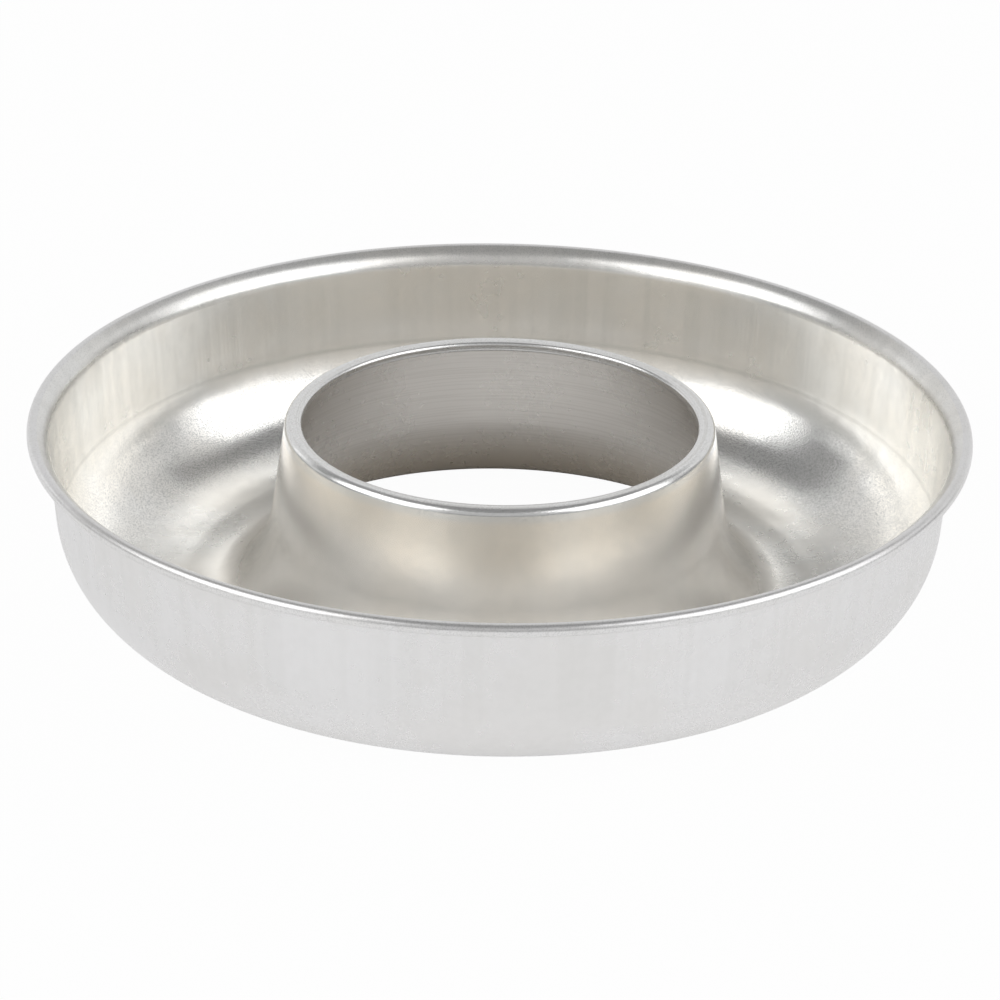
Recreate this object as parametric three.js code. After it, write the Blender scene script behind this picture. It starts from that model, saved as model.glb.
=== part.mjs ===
// Savarin mould: a ring-shaped baking mould drawn from one aluminium sheet.
// The outer rim and the lip of the centre chimney are both rolled over a wire.
// Millimetres, +Z up. The origin is the centre of the base, on the table.
import * as THREE from "three";

// Driving dimensions of the mould
const RIM_DIAMETER = 260; // outside of the rolled rim
const MOULD_HEIGHT = 52.6; // table to the crest of the rim
const SHEET = 0.6; // gauge of the drawn sheet
const WALL_DIAMETER = 247.8; // food side of the wall, where it turns out into the rim
const WALL_DRAFT = 4.5; // degrees that the wall leans out
const BOWL_RADIUS = 29.5; // food side, between the wall and the base
const SHOULDER_PITCH = 40; // degrees that the rim's shoulder rises outwards
const SHOULDER_RADIUS = 7; // food side, between the wall and the shoulder
const CHIMNEY_DIAMETER = 119.2; // food side of the chimney, where its lip begins
const CHIMNEY_DRAFT = 8; // degrees that the chimney narrows upwards
const FLARE_RADIUS = 35; // food side, where the chimney spreads into its skirt
const SKIRT_PITCH = 42; // degrees that the skirt rises from the base
const SKIRT_SPREAD = 9.5; // foot of the skirt beyond the line of the chimney
const FOOT_RADIUS = 4; // food side, between the base and the skirt
const LIP_DROP = 1.4; // crest of the lip below the crest of the rim
const HOLE_DIAMETER = 109.4; // clear opening through the lip
const LIP_RADIUS = 2.4; // crest of the lip
const LIP_PITCH = 12; // degrees that the lip falls towards the hole
const LIP_EDGE_RADIUS = 1.1; // where the lip turns under
const RIM_WIRE = 1.9; // diameter of the wire in the rim
const CHIMNEY_WIRE = 1.3; // diameter of the wire in the lip
const WIRE_CLEARANCE = 0.25; // between a wire and the sheet round it
const WIRE_BUTT_GAP = 0.8; // between the two ends of a wire

// Fineness of the facets
const RING_SEGMENTS = 76;
const BEND_TOLERANCE = 0.17; // between a bend and its facets
const BEND_STEP = 33; // degrees, the widest facet of a small bend
const WIRE_SIDES = 8;

// Bead radii: a wire, its clearance and the sheet that wraps it
const RIM_BEAD = RIM_WIRE / 2 + WIRE_CLEARANCE + SHEET;
const LIP_BEAD = CHIMNEY_WIRE / 2 + WIRE_CLEARANCE + SHEET;

const tan = (degrees) => Math.tan(THREE.MathUtils.degToRad(degrees));
const cos = (degrees) => Math.cos(THREE.MathUtils.degToRad(degrees));
const sin = (degrees) => Math.sin(THREE.MathUtils.degToRad(degrees));

// A corner of the section: radius from the axis, height and bend radius.
function corner(r, z, bend = 0) {
  return { at: new THREE.Vector2(r, z), bend };
}

// The rim's bead lies at the outer edge. Its shoulder is tangent to the bead and falls to the wall.
const rimCentre = new THREE.Vector2(RIM_DIAMETER / 2 - RIM_BEAD, MOULD_HEIGHT - RIM_BEAD);
const shoulderHeight = (r) =>
  rimCentre.y + RIM_BEAD / cos(SHOULDER_PITCH) + (r - rimCentre.x) * tan(SHOULDER_PITCH);

// The lip rounds over from the chimney to its crest, and from there falls to the hole.
// The wire sits under that slope.
const lipCrest = new THREE.Vector2(
  CHIMNEY_DIAMETER / 2 - LIP_RADIUS * cos(CHIMNEY_DRAFT),
  MOULD_HEIGHT - LIP_DROP - LIP_RADIUS,
);
const lipHeight = (r) => lipCrest.y + LIP_RADIUS / cos(LIP_PITCH) + (r - lipCrest.x) * tan(LIP_PITCH);
const lipCentre = new THREE.Vector2(HOLE_DIAMETER / 2 + LIP_BEAD, 0);
lipCentre.y = lipHeight(lipCentre.x) - LIP_BEAD / cos(LIP_PITCH);

// Corners of the sheet's visible face, from the rim's cut edge to the lip's cut edge.
function sheetCorners() {
  const rimRadius = RIM_DIAMETER / 2;
  const rimUnderside = rimCentre.y - RIM_BEAD;
  const wallRadius = WALL_DIAMETER / 2;
  const wallTop = shoulderHeight(wallRadius);
  const bowlRadius = wallRadius - (wallTop - SHEET) * tan(WALL_DRAFT);
  const lipTurn = (90 + LIP_PITCH - CHIMNEY_DRAFT) / 2;
  const lipReach = LIP_RADIUS / cos(lipTurn);
  const chimneyRadius = lipCrest.x + lipReach * cos(lipTurn + CHIMNEY_DRAFT);
  const chimneyTop = lipCrest.y + lipReach * sin(lipTurn + CHIMNEY_DRAFT);
  const chimneyFoot = chimneyRadius + (chimneyTop - SHEET) * tan(CHIMNEY_DRAFT);
  const skirtLean = tan(SKIRT_PITCH) * tan(CHIMNEY_DRAFT);
  const skirtHeight = (SKIRT_SPREAD * tan(SKIRT_PITCH)) / (1 - skirtLean);
  const holeRadius = HOLE_DIAMETER / 2;
  const lipUnderside = lipCentre.y - LIP_BEAD;
  return [
    corner(rimCentre.x - RIM_BEAD, rimUnderside),
    corner(rimRadius, rimUnderside, RIM_BEAD),
    corner(rimRadius, shoulderHeight(rimRadius), RIM_BEAD),
    corner(wallRadius, wallTop, SHOULDER_RADIUS),
    corner(bowlRadius, SHEET, BOWL_RADIUS),
    corner(chimneyFoot + SKIRT_SPREAD, SHEET, FOOT_RADIUS),
    corner(chimneyFoot - skirtHeight * tan(CHIMNEY_DRAFT), SHEET + skirtHeight, FLARE_RADIUS),
    corner(chimneyRadius, chimneyTop, LIP_RADIUS),
    corner(holeRadius, lipHeight(holeRadius), LIP_EDGE_RADIUS),
    corner(holeRadius, lipUnderside, LIP_EDGE_RADIUS),
    corner(lipCentre.x + LIP_BEAD, lipUnderside),
  ];
}

// The length that a bend takes from each of the two straights that it joins.
function bendReach(corners, i) {
  if (i === 0 || i === corners.length - 1) return 0;
  const arriving = corners[i].at.clone().sub(corners[i - 1].at);
  const leaving = corners[i + 1].at.clone().sub(corners[i].at);
  const turn = Math.abs(arriving.angleTo(leaving));
  return corners[i].bend * Math.tan(turn / 2);
}

// How far two neighbouring bends must shrink to fit the straight between them.
function bendShare(corners, i) {
  const straight = corners[i].at.distanceTo(corners[i + 1].at);
  return Math.min(1, straight / (bendReach(corners, i) + bendReach(corners, i + 1)));
}

// The number of facets that follow a bend.
function bendFacets(turn, radius) {
  const finest = 2 * Math.acos(1 - Math.min(1, BEND_TOLERANCE / radius));
  return Math.ceil(turn / Math.min(finest, THREE.MathUtils.degToRad(BEND_STEP)));
}

// Points along the rounded line of corners, pushed off to the left by an offset.
function roundedLine(corners, offset) {
  const points = [];
  const left = (direction) => new THREE.Vector2(-direction.y, direction.x);
  corners.forEach(({ at, bend }, i) => {
    const last = i === corners.length - 1;
    const leaving = corners[last ? i : i + 1].at.clone().sub(corners[last ? i - 1 : i].at).normalize();
    if (i === 0 || last) {
      points.push(at.clone().addScaledVector(left(leaving), offset));
      return;
    }
    const arriving = at.clone().sub(corners[i - 1].at).normalize();
    const turn = Math.atan2(arriving.cross(leaving), arriving.dot(leaving));
    const side = Math.sign(turn);
    const radius = bend * Math.min(bendShare(corners, i - 1), bendShare(corners, i));
    const centre = at
      .clone()
      .addScaledVector(arriving, -radius * Math.tan(Math.abs(turn) / 2))
      .addScaledVector(left(arriving), side * radius);
    const facets = bendFacets(Math.abs(turn), radius);
    for (let k = 0; k <= facets; k++) {
      const normal = left(arriving).rotateAround(new THREE.Vector2(), (turn * k) / facets);
      points.push(centre.clone().addScaledVector(normal, offset - side * radius));
    }
  });
  return points;
}

// Shell: the sheet's two faces joined at its cut edges and revolved about +Z.
function shellGeometry() {
  const corners = sheetCorners();
  const visibleFace = roundedLine(corners, 0);
  const hiddenFace = roundedLine(corners, SHEET).reverse();
  const section = [...visibleFace, ...hiddenFace, visibleFace[0]];
  return new THREE.LatheGeometry(section, RING_SEGMENTS).rotateX(Math.PI / 2);
}

// The bent line of a wire: a level ring, left open where the wire's ends butt.
class WireRing extends THREE.Curve {
  constructor(centre) {
    super();
    this.radius = centre.x;
    this.height = centre.y;
  }

  getPoint(t, target = new THREE.Vector3()) {
    const open = WIRE_BUTT_GAP / this.radius;
    const angle = open / 2 + t * (2 * Math.PI - open);
    return target.set(this.radius * Math.cos(angle), this.radius * Math.sin(angle), this.height);
  }
}

function wireGeometry(centre, diameter) {
  const round = new THREE.Shape().absarc(0, 0, diameter / 2, 0, 2 * Math.PI);
  return new THREE.ExtrudeGeometry(round, {
    extrudePath: new WireRing(centre),
    steps: RING_SEGMENTS,
    curveSegments: WIRE_SIDES / 2,
  });
}

const aluminium = { color: 0xc8c7c2, metalness: 1, roughness: 0.34 };
const wireSteel = { color: 0x8f9294, metalness: 1, roughness: 0.45 };

function piece(name, geometry, finish) {
  const mesh = new THREE.Mesh(geometry, new THREE.MeshStandardMaterial(finish));
  mesh.name = name;
  return mesh;
}

const mould = new THREE.Group();
mould.name = "savarin_mould";
mould.add(
  piece("mould_shell", shellGeometry(), aluminium),
  piece("rim_wire", wireGeometry(rimCentre, RIM_WIRE), wireSteel),
  piece("chimney_wire", wireGeometry(lipCentre, CHIMNEY_WIRE), wireSteel),
);

export default mould;
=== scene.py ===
import math
import bmesh
import bpy
from mathutils import Matrix, Vector


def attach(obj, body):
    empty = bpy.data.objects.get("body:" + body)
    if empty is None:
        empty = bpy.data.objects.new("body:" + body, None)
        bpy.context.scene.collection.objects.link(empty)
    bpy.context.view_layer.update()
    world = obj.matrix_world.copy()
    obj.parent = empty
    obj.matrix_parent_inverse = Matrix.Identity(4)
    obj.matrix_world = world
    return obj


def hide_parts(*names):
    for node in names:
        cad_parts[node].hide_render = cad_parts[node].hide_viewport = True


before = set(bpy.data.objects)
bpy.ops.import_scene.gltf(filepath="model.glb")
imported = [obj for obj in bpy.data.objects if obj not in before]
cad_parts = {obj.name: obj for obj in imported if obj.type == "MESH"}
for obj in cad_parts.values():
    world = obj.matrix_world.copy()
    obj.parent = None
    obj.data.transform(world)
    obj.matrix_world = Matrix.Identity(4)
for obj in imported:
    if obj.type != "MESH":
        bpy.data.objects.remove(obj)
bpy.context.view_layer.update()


# Mould shell: one disc of bare aluminium sheet, drawn into a ring trough with an open chimney in its middle.
# Its outer edge and the chimney's lip are rolled over wires. The section starts at the rim's cut edge,
# follows the face that shows, and ends at the lip's cut edge; the sheet's thickness lies behind that face.
SHEET = 0.0006
SHELL_STEPS = 192
LONG_RUN = 0.003
MERGE_DISTANCE = 1e-6
SHARP_BEND = math.radians(45)
TROUGH_MIDDLE_RADIUS = 0.09
TROUGH_MIDDLE_HEIGHT = 0.032

shell_bm = bmesh.new()
section_end = shell_bm.verts.new((0.1264, 0, 0.04898))


def straight_to(r, z):
    global section_end
    drawn = bmesh.ops.extrude_vert_indiv(shell_bm, verts=[section_end])
    section_end = drawn["verts"][0]
    section_end.co = (r, 0, z)


def bend_round(r, z, degrees, steps):
    global section_end
    bent = bmesh.ops.spin(
        shell_bm,
        geom=[section_end],
        cent=(r, 0, z),
        axis=(0, -1, 0),
        angle=math.radians(degrees),
        steps=steps,
    )
    section_end = next(v for v in bent["geom_last"] if isinstance(v, bmesh.types.BMVert))


# Rim bead, from its tucked-in cut edge over the wire to the shoulder
straight_to(0.1282, 0.04898)
bend_round(0.1282, 0.05078, 220, 28)
straight_to(0.12615, 0.05141)
bend_round(0.13065, 0.04605, 45.5, 16)
# Outer wall, bowl and base, which rises a little towards the chimney
straight_to(0.12219, 0.02779)
bend_round(0.09278, 0.0301, -85.5, 36)
straight_to(0.09054, 0.0006)
bend_round(0.09054, 0.0606, -3, 6)
# Foot of the chimney and the flare above it
straight_to(0.07961, 0.00109)
bend_round(0.08022, 0.01268, -47, 18)
bend_round(0.09906, 0.0285, -32, 20)
# Chimney, and its lip rolled inward over the thinner wire
straight_to(0.0596, 0.04913)
bend_round(0.05722, 0.0488, 94, 16)
straight_to(0.05557, 0.0509)
bend_round(0.0558, 0.04983, 78, 8)
straight_to(0.0547, 0.0491)
bend_round(0.0558, 0.0491, 90, 9)
straight_to(0.0577, 0.048)

long_runs = [e for e in shell_bm.edges if e.calc_length() > LONG_RUN]
bmesh.ops.subdivide_edges(shell_bm, edges=long_runs, cuts=8)
bmesh.ops.spin(
    shell_bm,
    geom=shell_bm.verts[:] + shell_bm.edges[:],
    cent=(0, 0, 0),
    axis=(0, 0, 1),
    angle=2 * math.pi,
    steps=SHELL_STEPS,
    use_merge=True,
)
bmesh.ops.remove_doubles(shell_bm, verts=shell_bm.verts[:], dist=MERGE_DISTANCE)
bmesh.ops.recalc_face_normals(shell_bm, faces=shell_bm.faces[:])
base_face = min(shell_bm.faces, key=lambda f: f.calc_center_median().z)
if base_face.normal.z < 0:
    bmesh.ops.reverse_faces(shell_bm, faces=shell_bm.faces[:])
bmesh.ops.solidify(shell_bm, geom=shell_bm.faces[:], thickness=SHEET)
back_side = shell_bm.faces.layers.float.new("back_side")
for face in shell_bm.faces:
    face.smooth = True
    spot = face.calc_center_median()
    trough_middle = Vector((spot.x, spot.y, 0)).normalized() * TROUGH_MIDDLE_RADIUS
    trough_middle.z = TROUGH_MIDDLE_HEIGHT
    face[back_side] = 1.0 if face.normal.dot(trough_middle - spot) < 0 else 0.0

shell_mesh = bpy.data.meshes.new("shell")
shell_bm.to_mesh(shell_mesh)
shell_bm.free()
shell_mesh.set_sharp_from_angle(angle=SHARP_BEND)
shell = bpy.data.objects.new("shell", shell_mesh)
bpy.context.scene.collection.objects.link(shell)


def feed(tree, socket, value):
    if isinstance(value, bpy.types.NodeSocket):
        tree.links.new(value, socket)
    else:
        socket.default_value = value


def finish_node(tree, kind, feeds=None, **settings):
    node = tree.nodes.new(kind)
    for name, value in settings.items():
        setattr(node, name, value)
    for socket, value in (feeds or {}).items():
        feed(tree, node.inputs[socket], value)
    return node


def figure(tree, operation, *terms):
    return finish_node(tree, "ShaderNodeMath", dict(enumerate(terms)), operation=operation).outputs[0]


def overlap(tree, *shares):
    product = shares[0]
    for share in shares[1:]:
        product = figure(tree, "MULTIPLY", product, share)
    return product


def fade(tree, value, start, end):
    feeds = {"Value": value, "From Min": start, "From Max": end}
    return finish_node(tree, "ShaderNodeMapRange", feeds, interpolation_type="SMOOTHSTEP").outputs["Result"]


def tint(tree, share, plain, stained):
    node = finish_node(tree, "ShaderNodeMix", {0: share}, data_type="RGBA")
    feed(tree, node.inputs[6], plain)
    feed(tree, node.inputs[7], stained)
    return node.outputs[2]


grain = bpy.data.node_groups.new("metal_grain", "ShaderNodeTree")
grain.interface.new_socket("Place", in_out="INPUT", socket_type="NodeSocketVector")
grain.interface.new_socket("Scale", in_out="INPUT", socket_type="NodeSocketFloat")
grain.interface.new_socket("Depth", in_out="INPUT", socket_type="NodeSocketFloat")
grain.interface.new_socket("Height", in_out="OUTPUT", socket_type="NodeSocketFloat")
grain.interface.new_socket("Shade", in_out="OUTPUT", socket_type="NodeSocketFloat")
grain_in = finish_node(grain, "NodeGroupInput")
speckle = finish_node(
    grain,
    "ShaderNodeTexNoise",
    {"Vector": grain_in.outputs["Place"], "Scale": grain_in.outputs["Scale"], "Detail": 1, "Roughness": 0.6},
).outputs["Fac"]
raised = figure(grain, "MULTIPLY_ADD", speckle, 2, -1)
finish_node(
    grain,
    "NodeGroupOutput",
    {"Height": figure(grain, "MULTIPLY", raised, grain_in.outputs["Depth"]), "Shade": speckle},
)


def grain_on(tree, place, scale, depth=0):
    feeds = {"Place": place, "Scale": scale, "Depth": depth}
    return finish_node(tree, "ShaderNodeGroup", feeds, node_tree=grain).outputs


aluminium = bpy.data.materials.new("drawn_aluminium")
aluminium.use_nodes = True
metal = aluminium.node_tree
skin = metal.nodes["Principled BSDF"]
place = finish_node(metal, "ShaderNodeTexCoord").outputs["Object"]
xyz = finish_node(metal, "ShaderNodeSeparateXYZ", {0: place}).outputs
flat_place = finish_node(metal, "ShaderNodeCombineXYZ", {0: xyz[0], 1: xyz[1]}).outputs[0]
radius = finish_node(metal, "ShaderNodeVectorMath", {0: flat_place}, operation="LENGTH").outputs["Value"]
height = xyz[2]
bearing = finish_node(metal, "ShaderNodeVectorMath", {0: flat_place}, operation="NORMALIZE").outputs["Vector"]
bearing_xyz = finish_node(metal, "ShaderNodeSeparateXYZ", {0: bearing}).outputs
behind = finish_node(metal, "ShaderNodeAttribute", attribute_name="back_side").outputs["Fac"]
food_side = figure(metal, "SUBTRACT", 1, behind)

# Where each part of the section lies, by its distance from the axis and its height
rim_part = overlap(metal, fade(metal, radius, 0.1236, 0.1252), fade(metal, height, 0.044, 0.048))
lip_part = overlap(metal, fade(metal, radius, 0.0625, 0.0605), fade(metal, height, 0.0465, 0.0485))
wall_part = overlap(metal, fade(metal, radius, 0.114, 0.12), fade(metal, height, 0.016, 0.026))
bowl_part = overlap(metal, fade(metal, radius, 0.098, 0.107), fade(metal, height, 0.026, 0.012), food_side)
floor_part = overlap(metal, fade(metal, height, 0.006, 0.002), food_side)
foot_part = overlap(metal, fade(metal, radius, 0.08, 0.074), food_side)
chimney_part = fade(metal, radius, 0.083, 0.073)
hole_part = overlap(metal, chimney_part, behind)

# Sandy grain in the bowl, a long ripple everywhere, and draw lines down the walls
sand = grain_on(metal, place, scale=2300, depth=figure(metal, "MULTIPLY_ADD", bowl_part, 9e-6, 5e-7))
ripple = grain_on(metal, place, scale=60, depth=1e-4)
line_place = finish_node(
    metal,
    "ShaderNodeCombineXYZ",
    {
        0: bearing_xyz[0],
        1: bearing_xyz[1],
        2: figure(metal, "MULTIPLY", figure(metal, "ADD", height, radius), 0.12),
    },
).outputs[0]
line_depth = overlap(metal, wall_part, figure(metal, "MULTIPLY_ADD", food_side, 5e-6, 4e-6))
draw_lines = grain_on(metal, line_place, scale=170, depth=line_depth)
bands = grain_on(metal, line_place, scale=30)
mottle = grain_on(metal, place, scale=330)["Shade"]
cloud = finish_node(
    metal,
    "ShaderNodeTexNoise",
    {"Vector": place, "Scale": 30, "Detail": 3, "Roughness": 0.6},
).outputs["Fac"]

# Brush lines that run round the hole and the lip
ring_place = finish_node(
    metal,
    "ShaderNodeCombineXYZ",
    {0: radius, 1: height, 2: figure(metal, "MULTIPLY", bearing_xyz[0], 0.001)},
).outputs[0]
ring_lines = grain_on(metal, ring_place, scale=2000, depth=2e-5)
ring_share = figure(metal, "MULTIPLY_ADD", hole_part, 0.5, figure(metal, "MULTIPLY", lip_part, 0.35))

# A few dark pits, and the line that the die's edge left at the top of the bowl
cells = finish_node(metal, "ShaderNodeTexVoronoi", {"Vector": place, "Scale": 210}).outputs
cell_pick = finish_node(metal, "ShaderNodeSeparateColor", {0: cells["Color"]}).outputs
pit_size = figure(metal, "MULTIPLY_ADD", figure(metal, "POWER", cell_pick[0], 4), 0.05, 0.02)
pit = overlap(
    metal,
    figure(metal, "LESS_THAN", cells["Distance"], pit_size),
    figure(metal, "GREATER_THAN", cell_pick[1], 0.95),
    food_side,
)
die_line = overlap(
    metal,
    fade(metal, height, 0.023, 0.024),
    fade(metal, height, 0.0252, 0.0241),
    fade(metal, radius, 0.112, 0.118),
    food_side,
)

# Relief for the rest of the base's shallow dish round the chimney's foot, beyond the rise in the mesh
dish_run = figure(metal, "SMOOTH_MAX", figure(metal, "SUBTRACT", 0.089, radius), 0, 0.005)
dish_run = figure(metal, "SMOOTH_MIN", dish_run, 0.013, 0.006)
dish_depth = overlap(metal, dish_run, 0.15, food_side)

relief = figure(metal, "ADD", sand["Height"], ripple["Height"])
for raised_by in (
    draw_lines["Height"],
    overlap(metal, ring_lines["Height"], ring_share),
    dish_depth,
    overlap(metal, die_line, 1.2e-5),
    overlap(metal, pit, -3e-6),
):
    relief = figure(metal, "ADD", relief, raised_by)
bump = finish_node(metal, "ShaderNodeBump", {"Height": relief, "Distance": 1}).outputs["Normal"]

cloud_share = fade(metal, cloud, 0.35, 0.65)
inside_colour = tint(metal, cloud_share, (0.945, 0.942, 0.925, 1), (0.94, 0.922, 0.885, 1))
inside_colour = tint(metal, chimney_part, inside_colour, (0.965, 0.93, 0.875, 1))
outside_colour = tint(metal, cloud_share, (0.905, 0.9, 0.902, 1), (0.885, 0.876, 0.868, 1))
colour = tint(metal, behind, inside_colour, outside_colour)
mottle_most = figure(metal, "MULTIPLY_ADD", food_side, 0.03, 0.04)
band_most = overlap(metal, wall_part, figure(metal, "MULTIPLY_ADD", food_side, 0.08, 0.08))
bead_sand = figure(metal, "MULTIPLY_ADD", figure(metal, "ADD", lip_part, rim_part), 0.22, 0.01)
sand_most = figure(metal, "MULTIPLY_ADD", bowl_part, 0.45, bead_sand)
for share, stain in (
    (overlap(metal, fade(metal, mottle, 0.4, 0.68), mottle_most), (0.62, 0.62, 0.6, 1)),
    (overlap(metal, fade(metal, bands["Shade"], 0.42, 0.66), band_most), (0.66, 0.66, 0.63, 1)),
    (hole_part, (0.84, 0.81, 0.77, 1)),
    (lip_part, (0.93, 0.93, 0.925, 1)),
    (overlap(metal, die_line, 0.25), (0.55, 0.54, 0.5, 1)),
    (overlap(metal, fade(metal, ring_lines["Shade"], 0.45, 0.65), hole_part, 0.2), (0.6, 0.57, 0.52, 1)),
    # Painted shade: the hole's wall darkens towards its foot, where it faces the shaded table under the mould
    (overlap(metal, hole_part, fade(metal, height, 0.024, 0.004), 0.9), (0.6, 0.54, 0.46, 1)),
    (overlap(metal, fade(metal, sand["Shade"], 0.52, 0.36), sand_most), (0.45, 0.45, 0.44, 1)),
    (overlap(metal, pit, 0.75), (0.2, 0.18, 0.15, 1)),
):
    colour = tint(metal, share, colour, stain)

roughness = figure(metal, "MULTIPLY_ADD", cloud, 0.1, figure(metal, "MULTIPLY_ADD", mottle, 0.05, 0.14))
for part, change in (
    (behind, 0.06),
    (foot_part, 0.015),
    (floor_part, 0.065),
    (overlap(metal, wall_part, food_side), 0.04),
    (rim_part, 0.06),
    (lip_part, -0.01),
):
    roughness = figure(metal, "MULTIPLY_ADD", part, change, roughness)

feed(metal, skin.inputs["Base Color"], colour)
feed(metal, skin.inputs["Roughness"], roughness)
feed(metal, skin.inputs["Normal"], bump)
feed(metal, skin.inputs["Metallic"], 1)
shell_mesh.materials.append(aluminium)
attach(shell, "root")
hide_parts("mould_shell")


# Wires: two hoops of plain drawn steel wire, one inside each rolled edge to keep it round and stiff.
# Each is bent from a straight length whose cut ends meet with a small gap, and the sheet is rolled round it.
BUTT_GAP = 0.0008
WIRE_STEPS = 192
WIRE_SIDES = 16

wire_steel = bpy.data.materials.new("drawn_wire")
wire_steel.use_nodes = True
wire_metal = wire_steel.node_tree
wire_skin = wire_metal.nodes["Principled BSDF"]
wire_place = finish_node(wire_metal, "ShaderNodeTexCoord").outputs["Object"]
die_marks = grain_on(wire_metal, wire_place, scale=1400, depth=3e-6)
dull = fade(wire_metal, die_marks["Shade"], 0.35, 0.65)
wire_colour = tint(wire_metal, dull, (0.56, 0.57, 0.58, 1), (0.42, 0.42, 0.43, 1))
wire_roughness = figure(wire_metal, "MULTIPLY_ADD", dull, 0.2, 0.3)
wire_bump = finish_node(wire_metal, "ShaderNodeBump", {"Height": die_marks["Height"], "Distance": 1})
feed(wire_metal, wire_skin.inputs["Base Color"], wire_colour)
feed(wire_metal, wire_skin.inputs["Roughness"], wire_roughness)
feed(wire_metal, wire_skin.inputs["Normal"], wire_bump.outputs["Normal"])
feed(wire_metal, wire_skin.inputs["Metallic"], 1)


def wire_hoop(name, node, radius, height, diameter):
    bm = bmesh.new()
    half_gap = BUTT_GAP / radius / 2
    cut_end = bmesh.ops.create_circle(
        bm,
        cap_ends=True,
        segments=WIRE_SIDES,
        radius=diameter / 2,
        matrix=Matrix.Translation((radius, 0, height)) @ Matrix.Rotation(math.pi / 2, 4, "X"),
    )
    bmesh.ops.rotate(bm, verts=cut_end["verts"], cent=(0, 0, 0), matrix=Matrix.Rotation(half_gap, 3, "Z"))
    bmesh.ops.spin(
        bm,
        geom=bm.faces[:] + bm.edges[:] + bm.verts[:],
        cent=(0, 0, 0),
        axis=(0, 0, 1),
        angle=2 * math.pi - 2 * half_gap,
        steps=WIRE_STEPS,
    )
    bmesh.ops.remove_doubles(bm, verts=bm.verts[:], dist=MERGE_DISTANCE)
    bmesh.ops.recalc_face_normals(bm, faces=bm.faces[:])
    for face in bm.faces:
        face.smooth = True
    mesh = bpy.data.meshes.new(name)
    bm.to_mesh(mesh)
    bm.free()
    mesh.set_sharp_from_angle(angle=SHARP_BEND)
    mesh.materials.append(wire_steel)
    hoop = bpy.data.objects.new(name, mesh)
    bpy.context.scene.collection.objects.link(hoop)
    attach(hoop, "root")
    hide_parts(node)


wire_hoop("rim_hoop", "rim_wire", 0.1282, 0.0508, 0.0019)
wire_hoop("lip_hoop", "chimney_wire", 0.0562, 0.0495, 0.0013)


# Floor: a plain pale table top under the mould. It shows white to the eye; in the metal it shows a painted glow,
# full beyond the mould, none in the ring under it and faint in the middle of the hole, a painted light and shade
# for the mould's shade on the table. It still takes the lamps' soft shadow. From below it is clear, so that the
# underside shows.
FLOOR_HALF = 4
FLOOR_DROP = 0.0001

floor_bm = bmesh.new()
floor_place = Matrix.Translation((0, 0, -FLOOR_DROP))
bmesh.ops.create_grid(floor_bm, x_segments=1, y_segments=1, size=FLOOR_HALF, matrix=floor_place)
floor_mesh = bpy.data.meshes.new("floor")
floor_bm.to_mesh(floor_mesh)
floor_bm.free()
floor = bpy.data.objects.new("floor", floor_mesh)
bpy.context.scene.collection.objects.link(floor)

table_top = bpy.data.materials.new("pale_table")
table_top.use_nodes = True
table = table_top.node_tree
table.nodes.clear()
table_paint = finish_node(table, "ShaderNodeBsdfDiffuse", {"Color": (0.92, 0.92, 0.92, 1)}).outputs[0]
table_white = finish_node(table, "ShaderNodeEmission", {"Strength": 1}).outputs[0]
table_clear = finish_node(table, "ShaderNodeBsdfTransparent").outputs[0]
table_place = finish_node(table, "ShaderNodeTexCoord").outputs["Object"]
from_axis = finish_node(table, "ShaderNodeVectorMath", {0: table_place}, operation="LENGTH").outputs["Value"]
# Painted light for reflections only: full glow beyond the mould, none in the ring under it (painted shade), a
# faint painted pool of light mid-hole
painted_glow_beyond_mould = overlap(table, fade(table, from_axis, 0.08, 0.105), 0.46)
painted_glow_mid_hole = overlap(table, fade(table, from_axis, 0.052, 0.02), 0.285)
ray = finish_node(table, "ShaderNodeLightPath").outputs
mirrored = figure(table, "MAXIMUM", ray["Is Glossy Ray"], ray["Is Transmission Ray"])
painted_glow_in_metal = overlap(table, mirrored, figure(table, "ADD", painted_glow_beyond_mould, painted_glow_mid_hole))
white_share = figure(table, "MULTIPLY_ADD", ray["Is Camera Ray"], 0.97, painted_glow_in_metal)
table_face = finish_node(table, "ShaderNodeMixShader", {0: white_share, 1: table_paint, 2: table_white}).outputs[0]
from_below = finish_node(table, "ShaderNodeNewGeometry").outputs["Backfacing"]
table_look = finish_node(table, "ShaderNodeMixShader", {0: from_below, 1: table_face, 2: table_clear}).outputs[0]
finish_node(table, "ShaderNodeOutputMaterial", {"Surface": table_look})
floor_mesh.materials.append(table_top)


# Studio light: two large soft boxes, left and right of the camera, in a dim grey room.
# Dimmer panels behind, above, in front and at the sides stand for the room's pale walls.
ROOM_GREY = 0.25
AIM = Vector((0, 0, 0.02))

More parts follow.
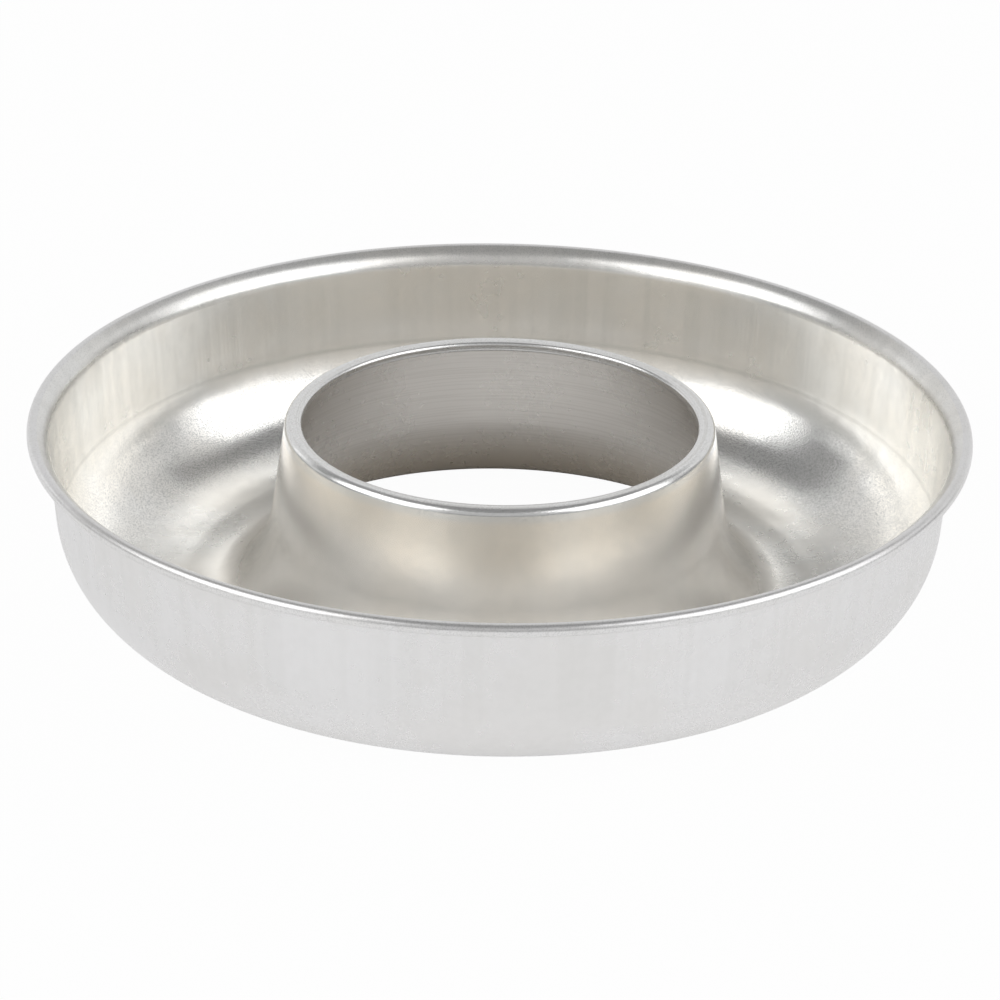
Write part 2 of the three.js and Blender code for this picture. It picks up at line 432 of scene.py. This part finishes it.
room = bpy.data.worlds.new("studio_room")
room.use_nodes = True
room.node_tree.nodes["Background"].inputs["Color"].default_value = (ROOM_GREY, ROOM_GREY, ROOM_GREY, 1)
bpy.context.scene.world = room


def soft_box(name, place, width, height, watts):
    lamp = bpy.data.lights.new(name, "AREA")
    lamp.shape = "RECTANGLE"
    lamp.size = width
    lamp.size_y = height
    lamp.energy = watts
    box = bpy.data.objects.new(name, lamp)
    box.location = place
    box.rotation_euler = (AIM - Vector(place)).to_track_quat("-Z", "Y").to_euler()
    bpy.context.scene.collection.objects.link(box)


soft_box("left_box", (-1.105, -0.481, 0.905), width=1.45, height=1.12, watts=7.2)
soft_box("right_box", (1.157, -0.456, 0.859), width=1.65, height=1.3, watts=8.4)
soft_box("back_panel", (0, 1.76, 0.72), width=5.4, height=1.8, watts=14)
soft_box("top_panel", (0, 1.0, 1.75), width=1.2, height=0.9, watts=1.3)
soft_box("side_panel", (1.47, 0.62, 1.0), width=0.6, height=1.3, watts=0.65)
soft_box("low_panel", (-1.58, 0.8, 0.42), width=0.9, height=0.55, watts=0.6)
soft_box("corner_panel", (-1.2, -1.0, 0.36), width=1.1, height=0.45, watts=0.5)
soft_box("front_panel", (0, -1.9, 1.1), width=3.2, height=1.5, watts=3.4)


# Camera: a long lens a good metre off, looking down at about 25 degrees and held very slightly rolled.
# Its place, aim and roll are fitted to the outlines of the rim, the wall, the chimney and the hole.
EYE = Vector((0, -1.02898, 0.50777))
LOOK_AT = Vector((0.00035, 0, 0.02642))
ROLL = 0.0162

look = (LOOK_AT - EYE).normalized()
level = look.cross(Vector((0, 0, 1))).normalized()
rise = level.cross(look)
across = math.cos(ROLL) * level + math.sin(ROLL) * rise
upward = -math.sin(ROLL) * level + math.cos(ROLL) * rise
lens = bpy.data.cameras.new("camera")
lens.sensor_width = 36
lens.lens = 146.724
camera = bpy.data.objects.new("camera", lens)
camera.matrix_world = Matrix.Translation(EYE) @ Matrix((across, upward, -look)).transposed().to_4x4()
bpy.context.scene.collection.objects.link(camera)
bpy.context.scene.camera = camera
bpy.context.scene.view_settings.view_transform = "Standard"
